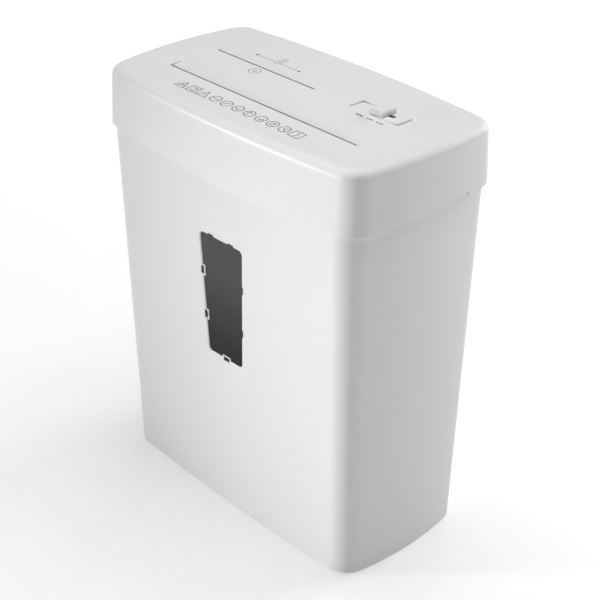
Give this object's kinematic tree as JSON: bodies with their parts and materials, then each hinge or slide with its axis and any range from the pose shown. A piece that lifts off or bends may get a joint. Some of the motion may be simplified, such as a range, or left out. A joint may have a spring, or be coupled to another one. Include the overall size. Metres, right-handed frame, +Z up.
{
  "type": "paper shredder",
  "caption": "Free-standing office paper shredder: white drive head with a paper slot, a disc slot and a slide switch on a tapered waste bin with a smoked window.",
  "frame": {"origin": "middle of the bin's underside, on the floor", "axes": "+X to the right along the long side, -Y to the front with the window, +Z up"},
  "size_m": [0.3198, 0.177, 0.3913],
  "materials": {
    "white_plastic": "fine satin moulding grain",
    "smoked_window": "smoked clear plastic",
    "plate_steel": "zinc-plated sheet",
    "cutter_steel": "hardened and oiled",
    "screw_steel": "bright zinc",
    "bronze": "sintered",
    "nylon": "natural moulded",
    "magnet": "ferrite",
    "board_green": "solder mask",
    "black_plastic": "moulded",
    "black_rubber": "matt"
  },
  "bodies": {
    "bin": {"bin_shell": "white_plastic", "bin_window": "smoked_window"},
    "head": {"top_cover": "white_plastic", "base_cover": "white_plastic", "switch_body": "black_plastic", "left_side_plate": "plate_steel", "right_side_plate": "plate_steel", "middle_bearing_plate": "plate_steel", "tie_rods": "plate_steel", "shaft_bushes": "bronze", "front_strippers": "nylon", "rear_strippers": "nylon", "paper_guide": "white_plastic", "media_guide": "white_plastic", "gear_axles": "plate_steel", "gear_guard": "nylon", "motor_case": "plate_steel", "motor_magnets": "magnet", "circuit_board": "board_green", "board_components": "black_plastic", "sensor_fork": "black_plastic", "safety_switch": "black_plastic", "cord_gland": "black_rubber", "cover_screws": "screw_steel", "frame_screws": "screw_steel", "rod_screws": "screw_steel", "motor_screws": "screw_steel"},
    "mode_knob": {"mode_knob": "white_plastic"},
    "front_roll": {"front_roll_shaft": "cutter_steel", "front_roll_discs": "cutter_steel", "front_roll_spacers": "nylon", "front_roll_gear": "nylon"},
    "rear_roll": {"rear_roll_shaft": "cutter_steel", "rear_roll_discs": "cutter_steel", "rear_roll_spacers": "nylon", "rear_roll_gear": "nylon"},
    "front_media_roll": {"front_media_shaft": "cutter_steel", "front_media_blades": "cutter_steel", "front_media_gears": "nylon"},
    "rear_media_roll": {"rear_media_shaft": "cutter_steel", "rear_media_blades": "cutter_steel", "rear_media_gear": "nylon"},
    "last_gear": {"last_reduction_gear": "nylon"},
    "first_gear": {"first_reduction_gear": "nylon"},
    "motor_drive": {"motor_rotor": "cutter_steel", "motor_pinion": "bronze"},
    "sensor_lever": {"sensor_lever": "black_plastic"},
    "safety_plunger": {"safety_plunger": "nylon"}
  },
  "joints": [
    {"name": "head_lift", "type": "slide", "parent": "bin", "child": "head", "axis": [0, 0, 1], "range_m": [0, 0.12]},
    {"name": "mode_slide", "type": "slide", "parent": "head", "child": "mode_knob", "axis": [0.9974, 0, 0.0725], "range_m": [-0.011, 0.011]},
    {"name": "rear_roll_spin", "type": "hinge", "parent": "head", "child": "rear_roll", "pos_m": [0, -0.0235, 0.334], "axis": [1, 0, 0], "continuous": true},
    {"name": "front_roll_spin", "type": "hinge", "parent": "head", "child": "front_roll", "pos_m": [0, -0.0505, 0.334], "axis": [1, 0, 0], "continuous": true},
    {"name": "front_media_spin", "type": "hinge", "parent": "head", "child": "front_media_roll", "pos_m": [0, 0.0035, 0.334], "axis": [1, 0, 0], "continuous": true},
    {"name": "rear_media_spin", "type": "hinge", "parent": "head", "child": "rear_media_roll", "pos_m": [0, 0.0305, 0.334], "axis": [1, 0, 0], "continuous": true},
    {"name": "last_gear_spin", "type": "hinge", "parent": "head", "child": "last_gear", "pos_m": [0, 0.01893, 0.35239], "axis": [1, 0, 0], "continuous": true},
    {"name": "first_gear_spin", "type": "hinge", "parent": "head", "child": "first_gear", "pos_m": [0, 0.04691, 0.35131], "axis": [1, 0, 0], "continuous": true},
    {"name": "motor_spin", "type": "hinge", "parent": "head", "child": "motor_drive", "pos_m": [0, 0.042, 0.327], "axis": [1, 0, 0], "continuous": true},
    {"name": "sensor_press", "type": "hinge", "parent": "head", "child": "sensor_lever", "pos_m": [0, -0.024, 0.368], "axis": [1, 0, 0], "range_deg": [0, 30], "stiffness_Nm_per_rad": 0.002, "springref_deg": -17.19},
    {"name": "plunger_press", "type": "slide", "parent": "head", "child": "safety_plunger", "axis": [0, 0, 1], "range_m": [0, 0.002], "stiffness_N_per_m": 300, "springref_m": -0.003}
  ],
  "couplings": [
    {"joint": "front_roll_spin", "follows": "rear_roll_spin", "ratio": -1},
    {"joint": "front_media_spin", "follows": "rear_roll_spin", "ratio": -1},
    {"joint": "rear_media_spin", "follows": "rear_roll_spin", "ratio": 1},
    {"joint": "last_gear_spin", "follows": "rear_roll_spin", "ratio": 1.2857},
    {"joint": "first_gear_spin", "follows": "rear_roll_spin", "ratio": -3.8571},
    {"joint": "motor_spin", "follows": "rear_roll_spin", "ratio": 16.071}
  ]
}
